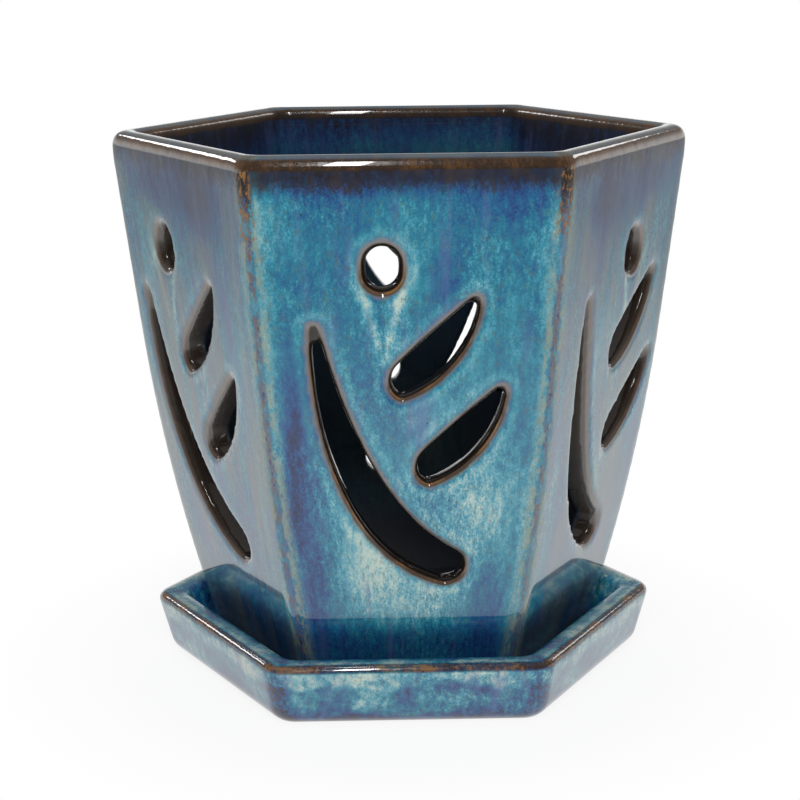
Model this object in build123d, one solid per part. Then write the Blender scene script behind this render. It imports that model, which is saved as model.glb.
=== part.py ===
"""Six-sided glazed orchid pot with slotted walls, standing in its drip saucer."""
import os
from math import asin, atan2, cos, degrees, hypot, radians, sin, tan

from build123d import *

os.makedirs("parts", exist_ok=True)

# Millimetres, +Z up. The origin is the centre of the saucer's underside and the front face looks along -Y.
# A flat is the distance from the axis to the middle of a face.
SIDES = 6
TOTAL_H = 150.0

# Saucer. The basin's gap is its width beyond the pot's foot, at the floor.
SAUCER_H = 17.7
SAUCER_FLARE = 4.2
SAUCER_CORNER_R = 8.0
SAUCER_EDGE_R = 1.8
SAUCER_BASE_R = 5.5
SAUCER_FLOOR_T = 6.5
RIM_W = 8.2
BASIN_GAP = 6.0
BASIN_LEAN = 10.0
BASIN_CORNER_R = 5.0
BASIN_LIP_R = 2.4
BASIN_FLOOR_R = 2.0
BASE_RING_W = 12.0
BASE_RING_H = 1.5

# Pot wall: straight and leaning out above the bend, curving in below it
RIM_FLAT = 68.7
WALL_LEAN = 6.1
BEND_Z = 95.0
BELLY_R = 552.0
WALL_T = 7.5
CORNER_R = 5.0

# Rim: a ridge runs round under the top, and above it the lip leans in and rounds over
RIDGE_DROP = 3.4
LIP_IN = 2.0
LIP_R = 3.0
INNER_LIP_R = 2.4

# Floor and foot
POT_FLOOR_T = 8.0
INNER_FLOOR_R = 3.0
FOOT_W = 8.0
FOOT_H = 2.5
FOOT_EDGE_R = 1.5
RECESS_CORNER_R = 4.0
DRAIN_D = 18.0
NOTCH_W = 10.0
NOTCHES = 3

# Slots of the front face, as (sideways from the middle of the face seen from outside, height)
HOLE_W = 8.2
HOLE_H = 10.6
CRESCENT_TIP = (-23.6, 112.5)
CRESCENT_BACK = [(-22.3, 88.6), (-17.1, 67.0), (-6.3, 48.0)]
CRESCENT_HEEL = (8.6, 38.1)
CRESCENT_END = (13.6, 40.4)
CRESCENT_TOE = (13.4, 45.5)
CRESCENT_FRONT = [(2.3, 54.0), (-9.8, 71.9), (-18.0, 92.1)]
LEAF_TIP = (18.0, 115.4)
LEAF_TOP = (5.0, 104.1)
LEAF_HEEL = (-2.2, 97.3)
LEAF_END = (-3.6, 91.6)
LEAF_TOE = (-1.5, 88.9)
LEAF_BELLY = (9.8, 96.4)
LEAF_STEP = (6.5, -23.1)
LEAVES = 2
TIP_R = 0.6
END_R = 1.5
SLOT_BEVEL = 1.6
HOLE_BEVEL = 2.1

# The slots are cut by hand and sit differently on each face, going round to the right from the front:
# the hole's place, the sideways shifts of the crescent and of the leaves, and their turn in degrees
FACE_CUTS = [
    ((-5.9, 122.1), 0.0, 0.0, 0.0),
    ((9.0, 119.4), 1.5, 3.0, -6.5),
    ((-5.9, 122.0), -1.0, 0.0, 0.0),
    ((-9.0, 122.0), -5.5, -3.5, 3.0),
    ((-5.9, 122.0), 0.0, 0.0, 0.0),
    ((-12.1, 121.3), -4.5, -4.5, 0.0),
]

# How near an edge's middle lies to a skin it is on, and the height range of an edge that counts as level
ON_SKIN = 0.3
LEVEL = 0.01

FACE_TURN = 360 / SIDES
PRISM = 4 * RIM_FLAT
POT_Z = SAUCER_FLOOR_T
RIDGE_Z = TOTAL_H - RIDGE_DROP
LEAN = radians(WALL_LEAN)
BEND_FLAT = RIM_FLAT - (RIDGE_Z - BEND_Z) * tan(LEAN)
BELLY_X = BEND_FLAT - BELLY_R * cos(LEAN)
BELLY_Z = BEND_Z + BELLY_R * sin(LEAN)
BLADES_Z = (CRESCENT_TIP[1] + CRESCENT_HEEL[1]) / 2


def belly_point(inset, angle):
    """Point on the curved lower wall, moved in by the inset."""
    radius = BELLY_R - inset
    return (BELLY_X + radius * cos(angle), BELLY_Z - radius * sin(angle))


def belly_angle(inset, z):
    return asin((BELLY_Z - z) / (BELLY_R - inset))


def wall_flat(inset, z):
    """Flat of the pot's wall at a height, moved in by the inset."""
    bend = belly_point(inset, LEAN)
    if z > bend[1]:
        return bend[0] + (z - bend[1]) * tan(LEAN)
    return belly_point(inset, belly_angle(inset, z))[0]


def wall_outline(inset, bottom, top):
    """Half outline of the pot's wall between two heights."""
    low = belly_angle(inset, bottom)
    foot = belly_point(inset, low)
    bend = belly_point(inset, LEAN)
    rim = (wall_flat(inset, top), top)
    return [
        Line((0, bottom), foot),
        ThreePointArc(foot, belly_point(inset, (low + LEAN) / 2), bend),
        Line(bend, rim),
        Line(rim, (0, top)),
    ]


def straight_outline(low_flat, bottom, high_flat, top):
    """Half outline with a straight leaning side."""
    return [
        Line((0, bottom), (low_flat, bottom)),
        Line((low_flat, bottom), (high_flat, top)),
        Line((high_flat, top), (0, top)),
    ]


def six_sided(outline):
    """Solid whose faces all follow one half outline and meet in sharp corners."""
    half = Curve() + outline
    slab = extrude(make_face(Plane.XZ * (half + mirror(half, about=Plane.YZ))), PRISM / 2, both=True)
    solid = Rot(0, 0, FACE_TURN / 2) * slab
    for turn in range(1, SIDES // 2):
        solid = solid & Rot(0, 0, FACE_TURN / 2 + turn * FACE_TURN) * slab
    return solid


def round_corners(solid, radius):
    """Upright corners rounded."""
    return fillet(solid.edges().filter_by(lambda edge: edge.bounding_box().size.Z > radius), radius)


def six_sided_recess(flat, depth, z):
    """Straight six-sided pocket, open downwards at the given height."""
    outline = RegularPolygon(flat, SIDES, major_radius=False)
    return Pos(0, 0, z) * extrude(fillet(outline.vertices(), RECESS_CORNER_R), depth)


def top_face(solid):
    return solid.faces().sort_by(Axis.Z)[-1]


def bottom_face(solid):
    return solid.faces().sort_by(Axis.Z)[0]


def rounded(outline):
    """Slot outline with a narrow rounding at its tip and a wider one at its blunt end."""
    tip = outline.vertices().sort_by(Axis.Y)[-1]
    outline = fillet([tip], TIP_R)
    return fillet(outline.vertices().sort_by(Axis.Y)[:2], END_R)


def crescent():
    return rounded(make_face(Curve() + [
        Spline(CRESCENT_TIP, *CRESCENT_BACK, CRESCENT_HEEL),
        ThreePointArc(CRESCENT_HEEL, CRESCENT_END, CRESCENT_TOE),
        Spline(CRESCENT_TOE, *CRESCENT_FRONT, CRESCENT_TIP),
    ]))


def leaves():
    leaf = rounded(make_face(Curve() + [
        ThreePointArc(LEAF_TIP, LEAF_TOP, LEAF_HEEL),
        ThreePointArc(LEAF_HEEL, LEAF_END, LEAF_TOE),
        ThreePointArc(LEAF_TOE, LEAF_BELLY, LEAF_TIP),
    ]))
    return [Pos(LEAF_STEP[0] * step, LEAF_STEP[1] * step) * leaf for step in range(LEAVES)]


def bar(face, outline):
    """Bar with the outline's section that reaches out through one face."""
    return Rot(0, 0, face * FACE_TURN) * extrude(Plane.XZ * outline, PRISM / 2)


def blade_cutters():
    """Bars that cut the crescent and the leaves through every face."""
    cutters = []
    for face, (_, crescent_shift, leaf_shift, turn) in enumerate(FACE_CUTS):
        turned = Pos(0, BLADES_Z) * Rot(0, 0, turn) * Pos(0, -BLADES_Z)
        cutters.append(bar(face, Pos(crescent_shift, 0) * turned * crescent()))
        cutters += [bar(face, Pos(leaf_shift, 0) * turned * leaf) for leaf in leaves()]
    return cutters


def hole_cutters():
    """Bars that cut the round-ended hole through every face."""
    hole = SlotOverall(HOLE_H, HOLE_W, rotation=90)
    return [bar(face, Pos(*cuts[0]) * hole) for face, cuts in enumerate(FACE_CUTS)]


def slot_edges(body, reach):
    """Edges of slots on the wall's outer skin, within reach of the middle of their face's hole."""
    found = []
    for edge in body.edges():
        middle = edge.center()
        face = round((degrees(atan2(middle.Y, middle.X)) + 90) / FACE_TURN) % SIDES
        at = middle.rotate(Axis.Z, -face * FACE_TURN)
        hole_x, hole_z = FACE_CUTS[face][0]
        flat = wall_flat(0, at.Z)
        on_face = abs(-at.Y - flat) < ON_SKIN and abs(at.X) < flat * tan(radians(FACE_TURN / 2)) - CORNER_R
        on_wall = at.Z > POT_Z + POT_FLOOR_T and edge.bounding_box().size.Z > LEVEL
        if on_face and on_wall and hypot(at.X - hole_x, at.Z - hole_z) < reach:
            found.append(edge)
    return found


def make_pot():
    body = round_corners(six_sided(wall_outline(0, POT_Z, TOTAL_H)), CORNER_R)
    body = chamfer(top_face(body).edges(), LIP_IN, RIDGE_DROP, reference=top_face(body))
    body = fillet(top_face(body).edges(), LIP_R)
    body = fillet(bottom_face(body).edges(), FOOT_EDGE_R)

    inside = six_sided(wall_outline(WALL_T, POT_Z + POT_FLOOR_T, TOTAL_H))
    body = body - fillet(bottom_face(inside).edges(), INNER_FLOOR_R)
    body = fillet(top_face(body).inner_wires()[0].edges(), INNER_LIP_R)

    foot_flat = wall_flat(0, POT_Z)
    body = body - six_sided_recess(foot_flat - FOOT_W, FOOT_H, POT_Z)
    body = body - Pos(0, 0, POT_Z) * Cylinder(DRAIN_D / 2, 2 * POT_FLOOR_T)
    for turn in range(NOTCHES):
        notch = Pos(0, -foot_flat, POT_Z) * Box(NOTCH_W, 3 * FOOT_W, 2 * FOOT_H)
        body = body - Rot(0, 0, turn * 360 / NOTCHES) * notch

    body = body - blade_cutters()
    body = chamfer(slot_edges(body, TOTAL_H), SLOT_BEVEL)
    body = body - hole_cutters()
    return chamfer(slot_edges(body, HOLE_H / 2 + ON_SKIN), HOLE_BEVEL)


def make_saucer():
    floor_flat = wall_flat(0, POT_Z) + BASIN_GAP
    basin_flat = floor_flat + (SAUCER_H - SAUCER_FLOOR_T) * tan(radians(BASIN_LEAN))
    top_flat = basin_flat + RIM_W
    base_flat = top_flat - SAUCER_FLARE
    body = six_sided(straight_outline(base_flat, 0, top_flat, SAUCER_H))
    body = round_corners(body, SAUCER_CORNER_R)
    body = fillet(top_face(body).edges(), SAUCER_EDGE_R)
    body = fillet(bottom_face(body).edges(), SAUCER_BASE_R)

    basin = six_sided(straight_outline(floor_flat, SAUCER_FLOOR_T, basin_flat, SAUCER_H))
    basin = round_corners(basin, BASIN_CORNER_R)
    body = body - fillet(bottom_face(basin).edges(), BASIN_FLOOR_R)
    body = fillet(top_face(body).inner_wires()[0].edges(), BASIN_LIP_R)
    return body - six_sided_recess(base_flat - BASE_RING_W, BASE_RING_H, 0)


parts = {"saucer": make_saucer(), "pot": make_pot()}
for name, solid in parts.items():
    export_step(solid, f"parts/{name}.step")
    box = solid.bounding_box()
    print(name, len(solid.solids()), "solid", round(solid.volume / 1000, 1), "cm3", box.min, box.max)
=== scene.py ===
"""Slotted orchid pot and its saucer: soft clay forms under a running blue glaze, in a plain pale studio."""
import math
from collections import namedtuple
from types import SimpleNamespace

import bmesh
import bpy
import numpy as np
from mathutils import Euler, Matrix, Vector, kdtree


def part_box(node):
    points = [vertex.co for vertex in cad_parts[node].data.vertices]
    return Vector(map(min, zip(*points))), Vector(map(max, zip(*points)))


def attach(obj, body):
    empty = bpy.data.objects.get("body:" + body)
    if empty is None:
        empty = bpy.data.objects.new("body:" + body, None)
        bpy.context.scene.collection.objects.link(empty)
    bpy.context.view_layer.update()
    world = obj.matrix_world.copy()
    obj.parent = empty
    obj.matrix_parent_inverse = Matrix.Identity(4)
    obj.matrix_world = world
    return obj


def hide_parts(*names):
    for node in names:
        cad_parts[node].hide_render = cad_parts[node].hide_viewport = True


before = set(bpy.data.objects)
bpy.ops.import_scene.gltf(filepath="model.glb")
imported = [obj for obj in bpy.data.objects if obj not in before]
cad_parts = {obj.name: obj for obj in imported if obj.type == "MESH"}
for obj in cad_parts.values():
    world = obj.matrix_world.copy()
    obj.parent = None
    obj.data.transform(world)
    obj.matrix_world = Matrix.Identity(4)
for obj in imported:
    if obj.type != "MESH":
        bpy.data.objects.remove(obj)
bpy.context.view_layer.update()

bl_info = {
    "name": "Slotted orchid pot",
    "version": (1, 0, 0),
    "blender": (4, 5, 0),
    "location": "View3D > Sidebar > Orchid pot",
    "description": "Dresses the packed orchid pot and saucer in running glaze and sets a studio round them",
    "category": "Object",
}

MM = 0.001
POT_LOW, POT_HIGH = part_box("pot")
FOOT_Z = POT_LOW[2]
RIM_Z = POT_HIGH[2]
SAUCER_TOP_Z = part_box("saucer")[1][2]

# Faces of the six-sided forms are counted from the front one, anticlockwise as seen from above
SIDES = 6
FRONT_TURN = math.radians(-90)
FRONT_AND_BACK = (0, 3)
MIRRORED = (1, 4)
CORNER_BLEND = 1.2 * MM

# Sponging and thinning of the clay forms
MERGE = 0.01 * MM
SPONGE_PULL = 0.5
RIM_SPONGED = 9 * MM
RIM_STROKES = 3
THIN_WEIGHT = 10.0
PLAIN_BELOW_RIM = 8 * MM
PLAIN_FROM_SLOTS = 2 * MM

# Places on the pot's wall: heights, depths below its skin and shares of its thickness
WALL_ABOVE_FOOT = 4 * MM
WALL_BELOW_RIDGE = 2 * MM
SLOT_EDGE = (0.5 * MM, 2.0 * MM)
SLOT_FROM_CORNER = 4.5 * MM
SLOT_THROAT = (0.3, 0.8)
INNER_FACE = 0.85
INNER_FADE = (0.75, 0.95)

# The two runs of glaze round each face's hole. They start and end at shares of their length.
HOLES_FROM = RIM_Z - 33 * MM
HOLE_REACH = 7.0 * MM
RUN_HALF = 6.4 * MM
RUN_LENGTH = 24 * MM
RUN_WIDTH = 1.25 * MM
RUN_START = (-0.15, 0.10)
RUN_END = (1.15, 0.70)
RUN_THICK = 0.32
RUN_THIN = 0.06

# Patterns in the glaze. Each has its scale, is drawn out downwards where upright is below 1, and is as fine
# as its detail and roughness say.
Pattern = namedtuple("Pattern", "upright scale detail roughness", defaults=(2.0, 0.5))
CLOUDS = Pattern(0.5, 30.0)
STREAKS = Pattern(0.12, 140.0)
FINE_STREAKS = Pattern(0.12, 480.0)
BLOTS = Pattern(0.5, 300.0, 3.0, 0.6)
GRAIN = Pattern(0.5, 800.0, 3.0, 0.65)
FINE_GRAIN = Pattern(0.8, 2200.0, 2.0, 0.6)
LIVELY = Pattern(1.0, 45.0)
MILK = Pattern(0.12, 300.0, 3.0)
MOSS = Pattern(0.5, 1000.0, 3.0, 0.65)
CRUMBS = Pattern(0.5, 1500.0, 2.0, 0.7)
DIMPLES = Pattern(0.5, 420.0, 1.0)
WAVES = Pattern(1.0, 130.0, 1.0)
POT_WANDER = Pattern(0.3, 120.0, 3.0)
POT_FLECKS = Pattern(0.5, 1100.0, 3.0, 0.7)
POT_GAPS = Pattern(0.5, 330.0)
POT_WORN = Pattern(0.5, 160.0, 3.0, 0.6)
POT_MELTED = Pattern(0.22, 95.0, 5.0, 0.62)
SAUCER_WANDER = Pattern(1.0, 110.0, 3.0)
SAUCER_CLOUDS = Pattern(1.6, 70.0, 3.0)
SAUCER_BLOTS = Pattern(1.0, 420.0, 3.0)
SAUCER_FLECKS = Pattern(1.0, 1000.0, 3.0, 0.7)
SAUCER_WORN = Pattern(1.0, 150.0, 3.0, 0.6)
PINHOLE_SCALE = 160.0

# Clear surface of the glaze and the relief under it
GLAZE_IOR = 1.4
COAT_IOR = 1.65
COAT_ROUGHNESS = 0.02
RELIEF_STRENGTH = 0.25
RELIEF_DEPTH = 0.05 * MM

# Pools of one face, in millimetres across it and up it: where the glaze gathers (thickness above 0), where it
# has run thin (below 0) and where it is milky (bloom). On a side face, across counts towards the front or the
# back face.
Pool = namedtuple("Pool", "across height width tall thickness bloom")
POOLS = (
    Pool(-28.0, 86.0, 3.8, 18.0, -0.30, 0.0),
    Pool(-28.6, 60.0, 3.6, 16.0, -0.34, 0.0),
    Pool(-24.6, 35.0, 4.2, 16.0, -0.26, 0.0),
    Pool(20.5, 31.0, 4.0, 15.0, -0.17, 0.0),
    Pool(9.0, 114.0, 4.0, 6.0, -0.15, 0.0),
    Pool(3.5, 107.0, 3.5, 6.0, -0.15, 0.0),
    Pool(-6.5, 92.0, 4.0, 7.0, -0.16, 0.0),
    Pool(-4.0, 82.0, 4.0, 6.0, -0.12, 0.0),
    Pool(-10.5, 44.0, 7.5, 14.0, 0.38, 0.0),
    Pool(1.0, 33.0, 10.0, 8.0, 0.26, 0.0),
    Pool(18.5, 58.0, 8.0, 12.0, 0.25, 0.0),
    Pool(-34.0, 134.0, 3.5, 9.0, 0.10, 0.0),
    Pool(25.0, 137.0, 12.0, 6.0, -0.16, 0.0),
    Pool(10.5, 121.0, 4.0, 9.0, -0.10, 0.1),
    Pool(3.0, 84.0, 8.0, 8.0, 0.07, 0.6),
    Pool(1.5, 82.5, 1.8, 1.8, 0.16, 0.0),
    Pool(-15.0, 122.0, 9.0, 12.0, -0.04, 0.2),
    Pool(28.0, 62.0, 4.0, 14.0, 0.05, 0.0),
)
SIDE_POOLS = (
    Pool(14.0, 136.0, 15.0, 9.0, -0.34, 0.0),
    Pool(-14.0, 138.0, 16.0, 7.0, -0.30, 0.0),
    Pool(16.0, 118.0, 9.0, 16.0, -0.12, 0.2),
    Pool(-22.0, 112.0, 8.0, 26.0, 0.14, 0.0),
    Pool(26.0, 70.0, 5.0, 30.0, 0.16, 0.3),
    Pool(4.0, 96.0, 8.0, 14.0, 0.18, 0.0),
    Pool(-4.0, 60.0, 9.0, 14.0, 0.16, 0.0),
    Pool(12.0, 46.0, 8.0, 16.0, -0.10, 0.4),
    Pool(-16.0, 40.0, 7.0, 18.0, -0.08, 0.5),
)

# Soft lamps, in metres and watts. A lamp lights the object, shows in its gloss, or does both.
Lamp = namedtuple("Lamp", "name place size power in_gloss in_light")
LAMPS = (
    Lamp("front_lamp", (0.0, -1.10, 0.70), (0.9, 0.5), 12.0, False, True),
    Lamp("back_lamp", (0.0, 1.10, 0.55), (1.2, 0.5), 6.0, False, True),
    Lamp("top_lamp", (-0.02, -0.71, 0.914), (0.03, 0.5), 1.2, True, True),
    Lamp("left_lamp", (-0.66, 0.63, 0.56), (0.30, 0.08), 0.5, True, False),
    Lamp("right_lamp", (0.66, 0.63, 0.56), (0.30, 0.10), 0.25, True, False),
)
LAMP_TARGET = (0.0, 0.0, 0.5 * RIM_Z)

# Where the floor's shadow and its look in the gloss fade, in metres from the object's middle
SHADOW_FADE = (0.13, 0.075)
TABLE_FADE = (0.20, 0.62)
FRONT_FADE = (0.18, 0.36)

SENSOR_WIDTH = 36.0
CLIP_START = 0.01
WHITE = (1.0, 1.0, 1.0, 1.0)


def colour_prop(name, description, default):
    return bpy.props.FloatVectorProperty(
        name=name, description=description, subtype="COLOR", size=3, min=0.0, max=1.0, default=default
    )


def length_prop(name, description, default):
    return bpy.props.FloatProperty(
        name=name, description=description, unit="LENGTH", min=0.0, default=default
    )


def angle_prop(name, description, default):
    return bpy.props.FloatProperty(name=name, description=description, unit="ROTATION", default=default)


def share_prop(name, description, default):
    return bpy.props.FloatProperty(
        name=name, description=description, subtype="FACTOR", min=0.0, max=1.0, default=default
    )


class ClayProps(bpy.types.PropertyGroup):
    """Sizes of the clay forms"""
    pot_grain: length_prop("Pot mesh size", "Size of the pot's mesh cells", 1.05 * MM)
    saucer_grain: length_prop("Saucer mesh size", "Size of the saucer's mesh cells", 0.9 * MM)
    softening: bpy.props.IntProperty(
        name="Softening", description="How many times the wet clay's edges are sponged soft", min=0, default=4
    )
    most_triangles: bpy.props.IntProperty(
        name="Most triangles", description="Past this many triangles the mesh is thinned where it is plain",
        min=1000, default=190000
    )
    ridge_drop: length_prop("Ridge below rim", "How far the ridge lies under the rim's top", 3.4 * MM)
    wall: length_prop("Wall", "Thickness of the pot's wall", 7.5 * MM)


class GlazeProps(bpy.types.PropertyGroup):
    """Colours and gloss of the glaze"""
    # Clay: also laid in the slot throats, where it is partly painted shade
    clay: colour_prop("Bare break", "Glaze run so thin that the clay darkens it", (0.009, 0.006, 0.004))
    amber: colour_prop("Amber break", "Thin glaze that lets warm clay through", (0.120, 0.052, 0.012))
    lip: colour_prop("Lip", "Brown of the rim, where the glaze has run off", (0.036, 0.022, 0.015))
    indigo: colour_prop("Indigo", "Thin glaze next to a break", (0.007, 0.020, 0.090))
    cobalt: colour_prop("Cobalt", "Glaze of less than middling thickness", (0.004, 0.060, 0.215))
    teal: colour_prop("Teal", "Glaze of middling thickness", (0.006, 0.140, 0.212))
    turquoise: colour_prop("Turquoise", "Glaze a little thicker than that", (0.022, 0.235, 0.325))
    celadon: colour_prop("Celadon", "Thick pale glaze", (0.142, 0.345, 0.395))
    cream: colour_prop("Cream", "Thickest glaze, in runs and beads", (0.460, 0.540, 0.460))
    moss: colour_prop("Moss", "Specks of iron green", (0.060, 0.105, 0.095))
    lavender: colour_prop("Lavender", "Milky bloom in the glaze", (0.072, 0.105, 0.260))
    bisque: colour_prop("Bisque", "Dull edge where glaze and clay melt together", (0.200, 0.165, 0.135))
    # Gilt: golden glaze break, and on the slots' up-facing lower edges also a painted glint
    gilt_and_glint: colour_prop("Gilt", "Golden line where the glaze breaks over an edge", (0.260, 0.125, 0.035))
    straw: colour_prop("Straw", "Yellow line where the glaze has run off a corner", (0.270, 0.260, 0.150))
    # Ash: milky grey streaks in the glaze, also laid as painted sheen on the side faces and the rim's top
    ash_and_sheen: colour_prop("Ash", "Grey streaks where the glaze has run milky", (0.160, 0.180, 0.165))
    # Painted shade: a dark colour laid on the pot's inside, on its foot in the saucer and in the saucer's
    # well
    painted_shade: colour_prop("Dusk", "Glaze of the unlit inside", (0.005, 0.006, 0.009))
    gloss: share_prop("Roughness", "Roughness of the glaze under its clear surface", 0.12)


class StageProps(bpy.types.PropertyGroup):
    """Camera, floor and light"""
    camera_at: bpy.props.FloatVectorProperty(
        name="Camera", description="Where the camera stands", unit="LENGTH", size=3,
        default=(-0.010730, -0.520774, 0.201444)
    )
    camera_turn: angle_prop("Turn", "How far the camera looks to the right", 0.01952)
    camera_tilt: angle_prop("Tilt", "How far the camera looks down", 0.24148)
    camera_roll: angle_prop("Roll", "How far the camera leans", -0.0096)
    lens: bpy.props.FloatProperty(name="Lens", description="Focal length", unit="CAMERA", default=85.63)
    floor_half: length_prop("Floor", "Half the width of the floor", 8.0)
    paper: colour_prop("Paper", "Colour of the floor", (0.90, 0.90, 0.90))
    ambient: bpy.props.FloatProperty(
        name="Room light", description="Light that comes from all round", min=0.0, default=0.25
    )
    ceiling: share_prop("Ceiling", "How bright the ceiling looks in the glaze", 0.2)
    shadow: share_prop("Shadow", "How much of the object's shadow the white floor keeps", 0.12)


def link_object(name, data):
    item = bpy.data.objects.new(name, data)
    bpy.context.scene.collection.objects.link(item)
    return item


def sponge(item, strokes, group=""):
    """Pulls a form's points towards their neighbours, all of them or those of a group."""
    stroke = item.modifiers.new("Sponge", "SMOOTH")
    stroke.factor = SPONGE_PULL
    stroke.iterations = strokes
    stroke.vertex_group = group


def soft_form(node, name, grain, softening):
    """Clay form that follows a CAD node, with its edges sponged soft."""
    bm = bmesh.new()
    bm.from_mesh(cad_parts[node].data)
    bmesh.ops.remove_doubles(bm, verts=bm.verts, dist=MERGE)
    mesh = bpy.data.meshes.new(name)
    bm.to_mesh(mesh)
    bm.free()
    item = link_object(name, mesh)
    clay = item.modifiers.new("Clay", "REMESH")
    clay.mode = "VOXEL"
    clay.voxel_size = grain
    sponge(item, softening)
    fix_shape(item)
    return item


def round_rim(item, strokes):
    """Sponges the form rounder near its rim."""
    height = points_of(item.data)[:, 2]
    start = RIM_Z - RIM_SPONGED
    group = item.vertex_groups.new(name="rim")
    for index in np.flatnonzero(height > start).tolist():
        group.add([index], float(step(start, RIM_Z - 0.5 * RIM_SPONGED, height[index])), "REPLACE")
    sponge(item, strokes, group.name)
    fix_shape(item)
    item.vertex_groups.clear()


def fix_shape(item):
    """Makes the result of a form's modifiers its mesh."""
    bpy.context.view_layer.update()
    rough = item.data
    shaped = bpy.data.meshes.new_from_object(item.evaluated_get(bpy.context.evaluated_depsgraph_get()))
    item.modifiers.clear()
    item.data = shaped
    bpy.data.meshes.remove(rough)
    shaped.name = item.name
    shaped.shade_smooth()


def thin_out(item, plain, left):
    """Thins the mesh at the marked points, until about so many triangles are left in all."""
    item.data.calc_loop_triangles()
    triangles = len(item.data.loop_triangles)
    if triangles <= left:
        return
    group = item.vertex_groups.new(name="plain")
    group.add(np.flatnonzero(plain).tolist(), 1.0, "REPLACE")
    thinner = item.modifiers.new("Thinner", "DECIMATE")
    thinner.ratio = left / triangles
    thinner.vertex_group = group.name
    thinner.vertex_group_factor = THIN_WEIGHT
    fix_shape(item)
    item.vertex_groups.clear()


def plain_inside(mesh, clay):
    """Marks the points of the pot's inside that are clear of its slots and rim."""
    points = points_of(mesh)
    hexagon = Hexagon(points, clay.pot_grain)
    depth = hexagon.depth / clay.wall
    from_slots = nearest(points, (depth > SLOT_THROAT[0]) & (depth < SLOT_THROAT[1]))
    below = hexagon.height < RIM_Z - PLAIN_BELOW_RIM
    return (depth > INNER_FACE) & below & (from_slots > PLAIN_FROM_SLOTS)


def points_of(mesh):
    flat = np.empty(len(mesh.vertices) * 3)
    mesh.vertices.foreach_get("co", flat)
    return flat.reshape(-1, 3)


def store(mesh, name, values):
    """Keeps one number or one vector for each point, for the materials to read."""
    if values.ndim == 1:
        mesh.attributes.new(name, "FLOAT", "POINT").data.foreach_set("value", values.astype(np.float32))
    else:
        data = mesh.attributes.new(name, "FLOAT_VECTOR", "POINT").data
        data.foreach_set("vector", values.astype(np.float32).ravel())


def step(low, high, values):
    """Smooth rise from 0 at low to 1 at high."""
    part = np.clip((values - low) / (high - low), 0.0, 1.0)
    return part * part * (3.0 - 2.0 * part)


class Hexagon:
    """Where each point lies on a six-sided form.

    face is its face, and share how much of each face it takes. places are its places across each face. flat
    is its distance from the axis, square to its face. skin is the flat of the outer skin at its height, depth
    how far it lies below that skin, and corner how far from the skin's nearest corner.
    """

    def __init__(self, points, spacing):
        turns = FRONT_TURN + np.arange(SIDES) * math.tau / SIDES
        flats = points[:, :1] * np.cos(turns) + points[:, 1:2] * np.sin(turns)
        self.places = points[:, 1:2] * np.cos(turns) - points[:, :1] * np.sin(turns)
        self.face = flats.argmax(axis=1)
        self.flat = flats.max(axis=1)
        self.height = points[:, 2]
        share = np.exp((flats - self.flat[:, None]) / CORNER_BLEND)
        self.share = share / share.sum(axis=1, keepdims=True)
        self.skin = self.outer_skin(spacing)
        self.depth = self.skin - self.flat
        across = self.places[np.arange(len(points)), self.face]
        self.corner = self.skin * math.tan(math.pi / SIDES) - np.abs(across)

    def outer_skin(self, spacing):
        lowest = self.height.min()
        count = int((self.height.max() - lowest) / spacing) + 1
        level = np.clip(((self.height - lowest) / spacing).astype(int), 0, count - 1)
        outer = np.zeros(count)
        np.maximum.at(outer, level, self.flat)
        middle = lowest + (np.arange(count) + 0.5) * spacing
        return np.interp(self.height, middle, outer)


def nearest(points, marked):
    """Distance from each point to the nearest marked one."""
    tree = kdtree.KDTree(int(marked.sum()))
    for index, point in enumerate(points[marked]):
        tree.insert(point, index)
    tree.balance()
    return np.array([tree.find(point)[2] for point in points])


def bell(values, middle, width):
    return np.exp(-((values - middle) / width) ** 2)


def pools_on(across, height, pools):
    """Thickness and bloom that the pools of one face add."""
    thick = np.zeros_like(across)
    bloom = np.zeros_like(across)
    for pool in pools:
        spot = bell(across, pool.across * MM, pool.width * MM)
        spot *= bell(height, pool.height * MM, pool.tall * MM)
        thick += pool.thickness * spot
        bloom += pool.bloom * spot
    return thick, bloom


def run_below(across, height):
    """Glaze parts round a hole, runs down both its sides and meets again below."""
    below = -height
    aside = np.abs(across)
    arm = RUN_HALF * (1.0 - np.clip(below / RUN_LENGTH, 0.0, 1.0))
    begun = step(RUN_START[0] * RUN_LENGTH, RUN_START[1] * RUN_LENGTH, below)
    ended = step(RUN_END[0] * RUN_LENGTH, RUN_END[1] * RUN_LENGTH, below)
    faint = begun * ended
    arms = bell(aside, arm, RUN_WIDTH) * faint
    between = step(arm, arm - 2 * RUN_WIDTH, aside) * faint * (below > 0)
    return RUN_THICK * arms - RUN_THIN * between


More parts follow.
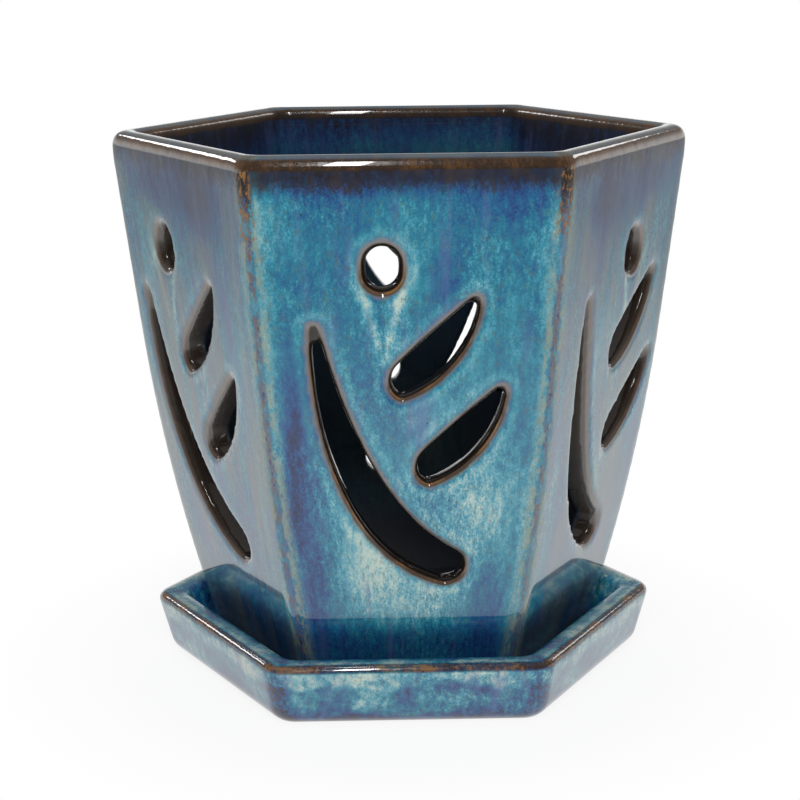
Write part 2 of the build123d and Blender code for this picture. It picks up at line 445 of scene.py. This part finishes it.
def mark_pot(mesh, clay):
    """Marks on the pot where the glaze runs thin or gathers."""
    points = points_of(mesh)
    hexagon = Hexagon(points, clay.pot_grain)
    height, depth, skin = hexagon.height, hexagon.depth, hexagon.skin
    wall_top = RIM_Z - clay.ridge_drop - WALL_BELOW_RIDGE
    wall = (height < wall_top) & (height > FOOT_Z + WALL_ABOVE_FOOT)
    slot_edge = wall & (depth > SLOT_EDGE[0]) & (depth < SLOT_EDGE[1]) & (hexagon.corner > SLOT_FROM_CORNER)
    pool = np.zeros(len(points))
    bloom = np.zeros(len(points))
    side = np.zeros(len(points))
    for face in range(SIDES):
        share = hexagon.share[:, face]
        across = hexagon.places[:, face]
        is_side = face not in FRONT_AND_BACK
        place = -across if face in MIRRORED else across
        thick, milk = pools_on(place, height, SIDE_POOLS if is_side else POOLS)
        hole = slot_edge & (hexagon.face == face) & (height > HOLES_FROM)
        hole_z = height[hole].max() - HOLE_REACH
        thick = thick + run_below(across - across[hole].mean(), height - hole_z)
        pool += share * thick
        bloom += share * milk
        side += share * is_side
    upright = skin.max() / skin
    store(mesh, "flow", points * np.column_stack([upright, upright, np.ones(len(points))]))
    store(mesh, "depth", np.where(wall, depth, 0.0) / MM)
    store(mesh, "slot", nearest(points, slot_edge) / MM)
    store(mesh, "corner", hexagon.corner / MM)
    store(mesh, "pool", pool)
    store(mesh, "bloom", bloom)
    # The side faces, where painted sheen lies
    store(mesh, "side", side)
    store(mesh, "inner", step(INNER_FADE[0] * clay.wall, INNER_FADE[1] * clay.wall, depth))
    # Which way each point faces up, for the painted sheen on the rim and the painted light on the slots'
    # lower edges
    normals = np.empty(len(points) * 3)
    mesh.vertex_normals.foreach_get("vector", normals)
    store(mesh, "up", normals.reshape(-1, 3)[:, 2])


def mark_saucer(mesh, clay):
    """Marks on the saucer where the glaze runs thin."""
    points = points_of(mesh)
    hexagon = Hexagon(points, clay.saucer_grain)
    store(mesh, "flow", points)
    store(mesh, "depth", hexagon.depth / MM)
    store(mesh, "corner", hexagon.corner / MM)


class Nodes:
    """Short ways to add nodes to a tree. All but add and feed give the socket that carries the result."""

    def __init__(self, tree):
        self.tree = tree

    def add(self, kind, values=None, **settings):
        node = self.tree.nodes.new(kind)
        for name, value in settings.items():
            setattr(node, name, value)
        self.feed(node, values or {})
        return node

    def feed(self, node, values):
        """Gives a node's inputs their values, each a socket or a plain value."""
        for key, value in values.items():
            if isinstance(value, bpy.types.NodeSocket):
                self.tree.links.new(value, node.inputs[key])
            else:
                node.inputs[key].default_value = value

    def read(self, name, output="Fac"):
        return self.add("ShaderNodeAttribute", attribute_name=name).outputs[output]

    def height(self, vector):
        """Height of a place, in millimetres."""
        return self.math("DIVIDE", self.add("ShaderNodeSeparateXYZ", {0: vector}).outputs["Z"], MM)

    def math(self, operation, first, second=0.0, third=0.0):
        node = self.add("ShaderNodeMath", {0: first, 1: second, 2: third}, operation=operation)
        return node.outputs[0]

    def fold(self, operation, terms):
        total = terms[0]
        for term in terms[1:]:
            total = self.math(operation, total, term)
        return total

    def sum(self, *terms):
        return self.fold("ADD", terms)

    def product(self, *terms):
        return self.fold("MULTIPLY", terms)

    def most(self, *terms):
        return self.fold("MAXIMUM", terms)

    def less(self, value, loss):
        return self.math("SUBTRACT", value, loss)

    def rest(self, value):
        """What a value leaves of 1."""
        return self.less(1.0, value)

    def line(self, value, slope, start):
        return self.math("MULTIPLY_ADD", value, slope, start)

    def weigh(self, *parts):
        """Sum of masks, each times its weight."""
        return self.sum(*[self.product(mask, weight) for mask, weight in parts])

    def rise(self, value, low, high, start=0.0, end=1.0):
        """Smooth way from start, where the value is low, to end, where it is high."""
        node = self.add(
            "ShaderNodeMapRange",
            {"Value": value, "From Min": low, "From Max": high, "To Min": start, "To Max": end},
            interpolation_type="SMOOTHSTEP",
        )
        return node.outputs["Result"]

    def noise(self, flow, pattern):
        if pattern.upright != 1.0:
            drawn = {"Vector": flow, "Scale": (1.0, 1.0, pattern.upright)}
            flow = self.add("ShaderNodeMapping", drawn).outputs["Vector"]
        node = self.add("ShaderNodeTexNoise", {
            "Vector": flow, "Scale": pattern.scale, "Detail": pattern.detail, "Roughness": pattern.roughness
        })
        return node.outputs["Fac"]

    def swing(self, flow, pattern, amount):
        """Noise that swings by about the amount to either side of nothing."""
        return self.product(self.less(self.noise(flow, pattern), 0.5), 4.0 * amount)

    def mix(self, factor, first, second):
        """Colour between two, each a socket or three numbers."""
        values = {0: factor}
        for key, colour in ((6, first), (7, second)):
            values[key] = colour if isinstance(colour, bpy.types.NodeSocket) else (*colour, 1.0)
        return self.add("ShaderNodeMix", values, data_type="RGBA", clamp_factor=True).outputs[2]

    def ramp(self, value, stops):
        node = self.add("ShaderNodeValToRGB", {"Fac": value})
        band = node.color_ramp
        band.interpolation = "B_SPLINE"
        while len(band.elements) < len(stops):
            band.elements.new(0.5)
        for element, (place, _) in zip(band.elements, stops):
            element.position = place
        for element, (_, colour) in zip(band.elements, stops):
            element.color = (*colour, 1.0)
        return node.outputs["Color"]


def new_group(name, inputs, outputs):
    """Empty node group, its input node and its output node."""
    tree = bpy.data.node_groups.new(name, "ShaderNodeTree")
    for label, kind in inputs.items():
        tree.interface.new_socket(label, in_out="INPUT", socket_type=kind)
    for label, kind in outputs.items():
        tree.interface.new_socket(label, in_out="OUTPUT", socket_type=kind)
    return tree, tree.nodes.new("NodeGroupInput"), tree.nodes.new("NodeGroupOutput")


def glaze_thickness(n, flow, thickness):
    """Thickness with its clouds, streaks, blots and grain. The grain is liveliest low on the wall."""
    height = n.height(flow)
    lively = n.product(
        n.rise(height, 30.0, 110.0, 1.25, 0.9),
        n.rise(n.noise(flow, LIVELY), 0.35, 0.65, 0.65, 1.35),
        n.rise(height, 16.0, 32.0, 0.85, 1.0),
    )
    grain = n.sum(n.swing(flow, GRAIN, 0.13), n.swing(flow, FINE_GRAIN, 0.13))
    return n.sum(
        thickness,
        n.swing(flow, CLOUDS, 0.06),
        n.swing(flow, STREAKS, 0.05),
        n.swing(flow, FINE_STREAKS, 0.05),
        n.swing(flow, BLOTS, 0.08),
        n.product(grain, lively),
    )


def running_glaze(glaze):
    """Shared glaze: brown where it is thin, then indigo, blue and teal, and cream where it is thick."""
    name = "Running glaze"
    if name in bpy.data.node_groups:
        return bpy.data.node_groups[name]
    number = "NodeSocketFloat"
    inputs = {
        "Flow": "NodeSocketVector", "Thickness": number, "Bloom": number, "Dark break": number, "Bare": number
    }
    tree, into, out = new_group(name, inputs, {"Color": "NodeSocketColor", "Height": number})
    n = Nodes(tree)
    flow = into.outputs["Flow"]
    bare = into.outputs["Bare"]
    thick = glaze_thickness(n, flow, into.outputs["Thickness"])
    colour = n.ramp(n.most(thick, n.line(bare, -0.08, 0.08)), [
        (0.00, 0.4 * glaze.indigo), (0.16, glaze.indigo), (0.32, glaze.cobalt), (0.50, glaze.teal),
        (0.64, glaze.turquoise), (0.80, glaze.celadon), (1.00, glaze.cream),
    ])
    milk = n.sum(n.noise(flow, MILK), n.product(into.outputs["Bloom"], 0.3))
    colour = n.mix(n.rise(milk, 0.54, 0.88, 0.0, 0.75), colour, glaze.lavender)
    moss = n.rise(n.noise(flow, MOSS), 0.53, 0.72, 0.0, 0.6)
    colour = n.mix(n.product(moss, n.rise(thick, 0.25, 0.50)), colour, glaze.moss)
    crumbs = n.less(n.noise(flow, CRUMBS), n.product(into.outputs["Dark break"], 0.35))
    broken = n.mix(n.rise(crumbs, 0.36, 0.62), glaze.clay, glaze.amber)
    colour = n.mix(n.product(n.rise(thick, 0.20, 0.06), bare), colour, broken)
    pinhole = n.add("ShaderNodeTexVoronoi", {"Vector": flow, "Scale": PINHOLE_SCALE, "Randomness": 1.0})
    chance = n.add("ShaderNodeSeparateColor", {0: pinhole.outputs["Color"]}).outputs[0]
    pit = n.product(n.rise(pinhole.outputs["Distance"], 0.055, 0.035), n.math("GREATER_THAN", chance, 0.72))
    colour = n.mix(n.product(pit, 0.75), colour, glaze.clay)
    relief = n.sum(n.swing(flow, DIMPLES, 0.5), n.swing(flow, WAVES, 0.8), n.product(pit, -1.0))
    n.feed(out, {"Color": colour, "Height": relief})
    return tree


def glaze_material(name, glaze):
    """Material with a clear gloss over its colour, ready for finish_glaze."""
    material = bpy.data.materials.new(name)
    material.use_nodes = True
    n = Nodes(material.node_tree)
    shader = material.node_tree.nodes["Principled BSDF"]
    n.feed(shader, {
        "Roughness": glaze.gloss, "IOR": GLAZE_IOR, "Coat Roughness": COAT_ROUGHNESS, "Coat IOR": COAT_IOR
    })
    return material, n, shader


def finish_glaze(n, shader, glaze, values, coats, gloss):
    """Lays the shared glaze on with its own thickness, then colours over it, and its clear surface last."""
    node = n.add("ShaderNodeGroup", values, node_tree=running_glaze(glaze))
    bump = n.add("ShaderNodeBump", {
        "Height": node.outputs["Height"], "Strength": RELIEF_STRENGTH, "Distance": RELIEF_DEPTH
    })
    colour = node.outputs["Color"]
    for mask, over in coats:
        colour = n.mix(mask, colour, over)
    n.feed(shader, {"Base Color": colour, "Normal": bump.outputs["Normal"], "Coat Weight": gloss})


def pot_patterns(n):
    """The marks on the pot and the patterns that break up its glaze. Lengths are in millimetres."""
    flow = n.read("flow", "Vector")
    names = ("depth", "slot", "corner", "pool", "bloom", "side", "inner", "up")
    marks = {name: n.read(name) for name in names}
    return SimpleNamespace(
        flow=flow,
        height=n.height(flow),
        outer=n.rest(marks["inner"]),
        wander=n.swing(flow, POT_WANDER, 1.0),
        flecks=n.noise(flow, POT_FLECKS),
        gaps=n.noise(flow, POT_GAPS),
        worn=n.noise(flow, POT_WORN),
        melted=n.noise(flow, POT_MELTED),
        **marks,
    )


def rim_masks(n, at):
    """Brown lip, painted sheen on its top, and a dark band below, weaker inside and on the side faces."""
    rim = RIM_Z / MM
    lip = n.rise(n.sum(at.height, n.product(at.wander, 0.3)), rim - 4.0, rim - 3.0)
    # Painted sheen: the lip's up-facing top turns pale instead of brown
    sheen_crown = n.product(lip, n.rise(at.up, 0.60, 0.90, 0.0, 0.8))
    band = n.rise(n.sum(at.height, n.product(at.wander, 1.1)), rim - 14.0, rim - 3.8)
    weaker = n.most(n.product(at.inner, 0.4), n.product(at.side, 0.25))
    band = n.product(band, n.rest(weaker), n.rest(sheen_crown))
    return SimpleNamespace(
        lip=n.less(lip, sheen_crown), sheen_crown=sheen_crown, band=band, dark=n.rise(n.sum(band, at.flecks), 0.85, 1.40)
    )


def slot_masks(n, at):
    """Dull edge of each slot, golden line on its lower side, dark throat, and a bead of glaze round it."""
    face = n.product(at.outer, n.rise(at.corner, 3.2, 4.5))
    throat_depth = n.line(n.most(at.up, 0.0), -0.3, at.depth)
    # Up-facing lower edges: their darker brown and golden line are partly glaze and partly painted light, as
    # light falls on them
    lower = n.rise(at.up, -0.35, 0.15)
    gilt_and_glint = n.product(
        n.rise(at.depth, 0.65, 0.9), n.rise(at.depth, 1.45, 1.15), n.line(at.side, -0.8, 1.0), lower
    )
    return SimpleNamespace(
        ring=n.product(n.rise(at.slot, 1.5, 0.3), face, 0.55),
        edge=n.product(n.rise(n.line(at.up, 0.1, at.depth), 0.30, 0.80), face),
        brink=n.product(n.rise(at.depth, 0.0, 0.7), face),
        throat=n.product(n.rise(throat_depth, 0.8, 1.4), at.outer),
        bead=n.product(n.rise(at.slot, 1.0, 2.2), n.rise(at.slot, 4.6, 2.4, 0.0, 0.12)),
        lower=lower,
        gilt_and_glint=gilt_and_glint,
    )


def corner_masks(n, at):
    """Broken line down each corner, dark at its top, with straw specks and a bead of glaze beside it."""
    rim = RIM_Z / MM
    top_height = n.sum(at.height, n.product(at.wander, 4.0), n.rise(at.flecks, 0.3, 0.7, -6.0, 6.0))
    top = n.product(n.rise(top_height, rim - 17.0, rim - 11.0), n.rise(at.corner, 3.0, 1.4))
    cover = n.sum(
        n.product(at.gaps, 1.2), n.product(at.flecks, 0.6),
        n.rise(at.height, 40.0, rim, -0.05, 0.05), n.rise(at.corner, 2.0, 0.2, -0.10, 0.03),
    )
    rough = n.sum(at.corner, n.rise(at.gaps, 0.3, 0.7, -0.7, 0.7), n.rise(at.flecks, 0.3, 0.7, -0.5, 0.5))
    return SimpleNamespace(
        top=top,
        line=n.most(n.product(n.rise(cover, 0.80, 0.95), n.rise(rough, 2.0, 0.9)), top),
        straw=n.product(
            n.rise(rough, 1.4, 2.4), n.rise(rough, 4.6, 2.6),
            n.rise(n.sum(at.gaps, at.flecks), 0.86, 1.14, 0.05, 0.6),
        ),
        bead=n.product(n.rise(at.corner, 1.0, 2.2), n.rise(at.corner, 6.0, 2.6, 0.0, 0.13)),
    )


def pot_material(glaze):
    """Glaze that has run off the pot's rim, corners and slot edges and gathers below them."""
    material, n, shader = glaze_material("Pot glaze", glaze)
    at = pot_patterns(n)
    rim = rim_masks(n, at)
    slot = slot_masks(n, at)
    corner = corner_masks(n, at)
    foot = n.rise(at.height, 31.0, 20.0)
    # The inside's loss and its dark break below turn its glaze darker: painted shade. The foot's loss makes
    # the glaze darker towards the bottom.
    gains = n.sum(0.53, at.pool, slot.bead, corner.bead)
    losses = n.weigh(
        (slot.brink, 0.14), (rim.lip, 0.50), (rim.band, 0.30), (corner.line, 0.20), (at.inner, 0.10),
        (foot, 0.16),
    )
    values = {
        "Flow": at.flow,
        "Thickness": n.less(gains, losses),
        # The side faces gain more lavender bloom: partly milky glaze, partly painted sheen
        "Bloom": n.sum(at.bloom, n.product(at.side, n.rise(at.pool, -0.25, -0.05, 0.0, 0.5))),
        "Dark break": n.most(slot.throat, at.inner, n.product(rim.band, 0.8)),
        "Bare": n.most(rim.band, slot.edge, corner.line, 0.04),
    }
    # Painted sheen, partly milky glaze: the four side faces turn paler and greyer in streaks
    side_milk_and_sheen = n.product(at.side, at.outer, n.rise(at.pool, -0.25, -0.05, 0.25, 1.0))
    rim_z = RIM_Z / MM
    coats = [
        (n.product(side_milk_and_sheen, n.rise(at.melted, 0.42, 0.62, 0.0, 0.7)), glaze.ash_and_sheen),
        (n.product(rim.dark, 0.8), glaze.clay),
        (n.product(rim.dark, n.rise(at.worn, 0.46, 0.62, 0.0, 0.6)), glaze.lip),
        (n.product(corner.straw, n.rest(rim.band)), glaze.straw),
        (n.product(corner.line, n.rise(at.gaps, 0.35, 0.65, 0.05, 0.6)), glaze.bisque),
        (n.product(corner.line, n.rise(at.flecks, 0.47, 0.56, 0.0, 0.9)), glaze.amber),
        (n.product(corner.line, n.rise(at.flecks, 0.48, 0.41, 0.0, 0.9)), glaze.indigo),
        (n.product(corner.top, n.rise(at.flecks, 0.58, 0.44, 0.35, 0.95)), glaze.clay),
        (n.product(corner.top, n.rise(at.flecks, 0.52, 0.60, 0.0, 0.8)), glaze.gilt_and_glint),
        (slot.ring, glaze.bisque),
        (n.product(slot.edge, 0.8), glaze.bisque),
        # Partly glaze, partly painted light: up-facing lower slot edges turn darker brown with a golden glint
        # line
        (n.product(slot.edge, slot.lower, 0.9), glaze.lip),
        (n.product(slot.gilt_and_glint, n.rise(at.worn, 0.36, 0.56, 0.75, 0.1)), glaze.gilt_and_glint),
        # Painted sheen: pale grey on the rim's up-facing top
        (n.product(rim.sheen_crown, n.rise(at.worn, 0.35, 0.65, 0.6, 0.95)), glaze.ash_and_sheen),
        (n.product(rim.lip, 0.9), glaze.lip),
        (n.product(rim.lip, at.side, n.rise(at.worn, 0.35, 0.6, 0.3, 0.7)), glaze.amber),
        (n.product(rim.lip, n.rise(n.sum(at.worn, at.flecks), 0.90, 1.20, 0.0, 0.5)), glaze.amber),
        # Bare clay and painted shade: the slot walls' throat goes near black
        (n.product(slot.throat, n.line(at.side, -0.3, 0.92)), glaze.clay),
        # Painted shade: the inside darkens further down from the rim
        (n.product(at.inner, n.rise(at.height, rim_z - 6.0, rim_z - 30.0, 0.62, 0.93)), glaze.painted_shade),
        # Painted shade: the pot's foot, down in the saucer's basin, darkens towards the bottom
        (n.product(foot, 0.52), glaze.painted_shade),
    ]
    n.feed(shader, {"Roughness": n.rise(at.inner, 0.3, 0.9, glaze.gloss, 0.65)})
    dull = n.most(n.product(slot.throat, n.line(at.side, -0.6, 0.6)), at.inner)
    finish_glaze(n, shader, glaze, values, coats, n.rest(dull))
    return material


def saucer_material(glaze):
    """Cloudy glaze, thick under the saucer's rim, with a brown and golden ridge. Lengths in millimetres."""
    material, n, shader = glaze_material("Saucer glaze", glaze)
    flow = n.read("flow", "Vector")
    depth = n.read("depth")
    height = n.height(flow)
    top = SAUCER_TOP_Z / MM
    wander = n.swing(flow, SAUCER_WANDER, 1.0)
    cloud = n.sum(n.swing(flow, SAUCER_CLOUDS, 0.36), n.swing(flow, SAUCER_BLOTS, 0.19))
    flecks = n.noise(flow, SAUCER_FLECKS)
    worn = n.noise(flow, SAUCER_WORN)
    level = n.sum(height, n.product(wander, 2.2))
    base = n.sum(n.rise(level, 1.0, 7.0, 0.14, 0.54), n.rise(level, top - 7.0, top - 4.0, 0.0, 0.26))
    ridge = n.product(n.rise(height, top - 2.2, top - 0.9), n.rise(depth, 2.2, 1.0))
    basin = n.rise(depth, 2.6, 4.0)
    corner = n.product(n.rise(n.read("corner"), 5.2, 3.0), n.rise(flecks, 0.35, 0.65, 0.05, 0.35))
    foot = n.rise(height, 1.6, 0.6)
    losses = n.weigh((ridge, 0.5), (basin, 0.24), (corner, 1.0), (foot, 0.4))
    values = {
        "Flow": flow,
        "Thickness": n.less(n.sum(base, cloud), losses),
        "Bloom": 0.2,
        "Dark break": 0.2,
        "Bare": n.most(ridge, foot, n.line(corner, 2.0, 0.12)),
    }
    # Painted shade: the saucer's well under the pot turns dark
    shaded_well = n.product(n.rise(depth, 8.0, 11.0), n.rise(height, top - 1.0, top - 4.0))
    coats = [
        (n.product(ridge, 0.75), glaze.lip),
        (n.product(ridge, n.rise(n.sum(worn, flecks), 0.94, 1.16, 0.0, 0.65)), glaze.gilt_and_glint),
        (n.product(shaded_well, 0.72), glaze.painted_shade),
    ]
    # The saucer looks dull in the pot's gloss, so that no lamp shows there twice
    echo = n.add("ShaderNodeLightPath").outputs["Is Glossy Ray"]
    rough = n.rise(depth, 3.0, 6.0, glaze.gloss, 0.5)
    n.feed(shader, {"Roughness": n.most(rough, n.product(echo, 0.7))})
    gloss = n.product(
        n.rise(height, 0.4, 1.4, 0.1, 1.0), n.rise(depth, 4.0, 8.0, 1.0, 0.15), n.rest(echo)
    )
    finish_glaze(n, shader, glaze, values, coats, gloss)
    return material


class ORCHID_OT_pot(bpy.types.Operator):
    """Shape and glaze the pot"""
    bl_idname = "orchid.pot"
    bl_label = "Pot"

    def execute(self, context):
        clay = context.scene.orchid_clay
        pot = soft_form("pot", "glazed_pot", clay.pot_grain, clay.softening)
        round_rim(pot, RIM_STROKES * clay.softening)
        thin_out(pot, plain_inside(pot.data, clay), clay.most_triangles)
        mark_pot(pot.data, clay)
        pot.data.materials.clear()
        pot.data.materials.append(pot_material(context.scene.orchid_glaze))
        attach(pot, "pot")
        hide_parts("pot")
        return {"FINISHED"}


class ORCHID_OT_saucer(bpy.types.Operator):
    """Shape and glaze the saucer"""
    bl_idname = "orchid.saucer"
    bl_label = "Saucer"

    def execute(self, context):
        clay = context.scene.orchid_clay
        saucer = soft_form("saucer", "glazed_saucer", clay.saucer_grain, clay.softening)
        mark_saucer(saucer.data, clay)
        saucer.data.materials.clear()
        saucer.data.materials.append(saucer_material(context.scene.orchid_glaze))
        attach(saucer, "saucer")
        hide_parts("saucer")
        return {"FINISHED"}


def paper_material(stage):
    """White to the camera but for a soft shadow, pale paper to the light, a dimming table to the gloss."""
    material = bpy.data.materials.new("Paper")
    material.use_nodes = True
    tree = material.node_tree
    tree.nodes.remove(tree.nodes["Principled BSDF"])
    n = Nodes(tree)
    path = n.add("ShaderNodeLightPath").outputs
    place = n.add("ShaderNodeTexCoord").outputs["Object"]
    away = n.add("ShaderNodeVectorMath", {0: place}, operation="LENGTH").outputs["Value"]
    ahead = n.product(n.add("ShaderNodeSeparateXYZ", {0: place}).outputs["Y"], -1.0)
    seen = n.sum(path["Is Camera Ray"], path["Is Glossy Ray"], path["Is Transmission Ray"])
    shadow = n.product(n.rise(away, *SHADOW_FADE), stage.shadow)
    part = n.product(n.math("MINIMUM", seen, 1.0), n.rest(shadow))
    table = n.product(n.rise(away, *TABLE_FADE, 0.82, 0.42), n.rise(ahead, *FRONT_FADE, 1.0, 0.45))
    strength = n.sum(n.product(path["Is Glossy Ray"], n.less(table, 1.0)), 1.0)
    matt = n.add("ShaderNodeBsdfDiffuse", {"Color": (*stage.paper, 1.0)})
    white = n.add("ShaderNodeEmission", {"Color": WHITE, "Strength": strength})
    both = n.add("ShaderNodeMixShader", {0: part, 1: matt.outputs[0], 2: white.outputs[0]})
    n.feed(tree.nodes["Material Output"], {"Surface": both.outputs[0]})
    return material


def paper_floor(stage):
    bm = bmesh.new()
    bmesh.ops.create_grid(bm, x_segments=1, y_segments=1, size=stage.floor_half)
    mesh = bpy.data.meshes.new("floor")
    bm.to_mesh(mesh)
    bm.free()
    mesh.materials.append(paper_material(stage))
    floor = link_object("floor", mesh)


def soft_lamp(lamp):
    light = bpy.data.lights.new(lamp.name, "AREA")
    light.shape = "RECTANGLE"
    light.size, light.size_y = lamp.size
    light.energy = lamp.power
    item = link_object(lamp.name, light)
    item.location = lamp.place
    item.visible_glossy = lamp.in_gloss
    item.visible_diffuse = lamp.in_light
    item.rotation_euler = (Vector(LAMP_TARGET) - Vector(lamp.place)).to_track_quat("-Z", "Y").to_euler()


def room_light(stage):
    """White behind and beside the object at table height, with a dim ceiling and a dim front."""
    world = bpy.data.worlds.new("Studio")
    bpy.context.scene.world = world
    world.use_nodes = True
    n = Nodes(world.node_tree)
    way = n.add("ShaderNodeSeparateXYZ", {0: n.add("ShaderNodeTexCoord").outputs["Generated"]}).outputs
    wall = n.product(n.rise(way["Z"], 0.05, 0.35, 1.0, stage.ceiling), n.rise(way["Y"], -0.6, -0.1, 0.2, 1.0))
    path = n.add("ShaderNodeLightPath").outputs
    seen = n.most(path["Is Glossy Ray"], path["Is Transmission Ray"])
    lit = n.product(n.rest(seen), stage.ambient)
    strength = n.most(n.line(seen, wall, lit), path["Is Camera Ray"])
    n.feed(world.node_tree.nodes["Background"], {"Color": WHITE, "Strength": strength})


def photo_camera(stage):
    lens = bpy.data.cameras.new("camera")
    lens.lens = stage.lens
    lens.sensor_width = SENSOR_WIDTH
    lens.clip_start = CLIP_START
    camera = link_object("camera", lens)
    aim = Euler((math.pi / 2 - stage.camera_tilt, 0.0, -stage.camera_turn)).to_matrix().to_4x4()
    roll = Matrix.Rotation(stage.camera_roll, 4, "Z")
    camera.matrix_world = Matrix.Translation(stage.camera_at) @ aim @ roll
    return camera


class ORCHID_OT_stage(bpy.types.Operator):
    """Set the floor, the lamps and the camera"""
    bl_idname = "orchid.stage"
    bl_label = "Stage"

    def execute(self, context):
        stage = context.scene.orchid_stage
        context.scene.view_settings.view_transform = "Standard"
        paper_floor(stage)
        room_light(stage)
        for lamp in LAMPS:
            soft_lamp(lamp)
        context.scene.camera = photo_camera(stage)
        return {"FINISHED"}


class ORCHID_PT_panel(bpy.types.Panel):
    """Orchid pot tools"""
    bl_idname = "ORCHID_PT_panel"
    bl_label = "Orchid pot"
    bl_space_type = "VIEW_3D"
    bl_region_type = "UI"
    bl_category = "Orchid pot"

    def draw(self, context):
        for group in (context.scene.orchid_clay, context.scene.orchid_glaze, context.scene.orchid_stage):
            box = self.layout.box()
            for name in group.__annotations__:
                box.prop(group, name)
        for operator in (ORCHID_OT_saucer, ORCHID_OT_pot, ORCHID_OT_stage):
            self.layout.operator(operator.bl_idname)


CLASSES = (
    ClayProps, GlazeProps, StageProps, ORCHID_OT_pot, ORCHID_OT_saucer, ORCHID_OT_stage, ORCHID_PT_panel
)


def register():
    for item in CLASSES:
        bpy.utils.register_class(item)
    bpy.types.Scene.orchid_clay = bpy.props.PointerProperty(type=ClayProps)
    bpy.types.Scene.orchid_glaze = bpy.props.PointerProperty(type=GlazeProps)
    bpy.types.Scene.orchid_stage = bpy.props.PointerProperty(type=StageProps)


def unregister():
    del bpy.types.Scene.orchid_clay
    del bpy.types.Scene.orchid_glaze
    del bpy.types.Scene.orchid_stage
    for item in reversed(CLASSES):
        bpy.utils.unregister_class(item)


def main():
    register()
    bpy.ops.orchid.saucer()
    bpy.ops.orchid.pot()
    bpy.ops.orchid.stage()


if __name__ == "__main__":
    main()
